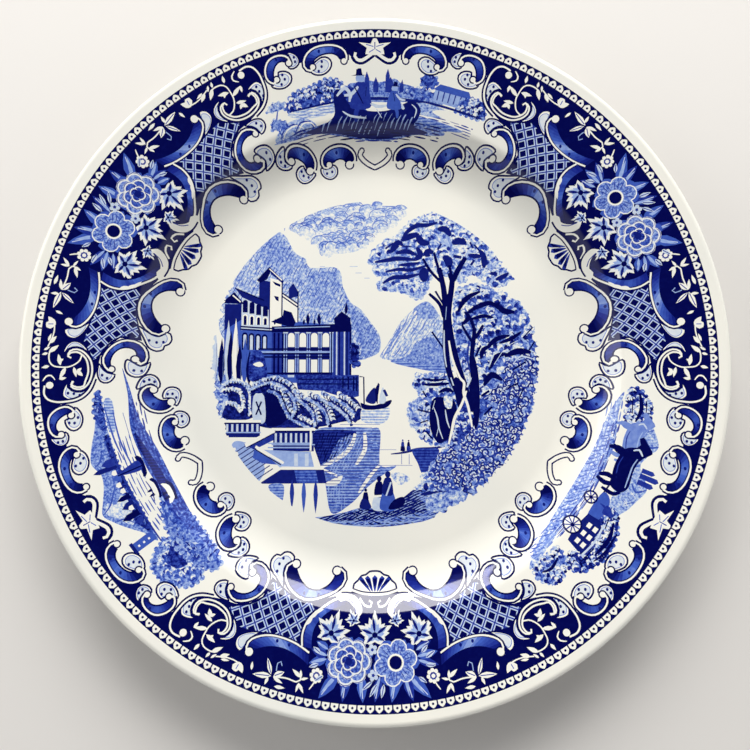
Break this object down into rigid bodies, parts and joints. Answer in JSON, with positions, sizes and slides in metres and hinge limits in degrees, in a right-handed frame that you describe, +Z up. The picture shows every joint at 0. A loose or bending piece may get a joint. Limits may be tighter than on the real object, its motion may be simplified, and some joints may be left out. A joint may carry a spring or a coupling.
{
  "type": "dinner plate",
  "caption": "Round transfer-printed earthenware dinner plate with a wide sloping rim, flat well and foot ring, printed in blue on white under a clear glaze.",
  "frame": {"origin": "centre of the foot ring's resting face", "axes": "+Z up along the plate's axis, +Y towards the top of the printed scene, +X towards its right"},
  "size_m": [0.254, 0.254, 0.0221],
  "materials": {
    "biscuit": "matt fired earthenware, bare only on the foot ring's edge",
    "cobalt_print": "engraved cobalt blue transfer print under glaze",
    "clear_glaze": "glossy clear glaze over cream white body"
  },
  "bodies": {
    "root": {"earthenware_body": "biscuit", "border_print": "cobalt_print", "scene_print": "cobalt_print", "face_glaze": "clear_glaze", "recess_glaze": "clear_glaze"}
  },
  "joints": []
}
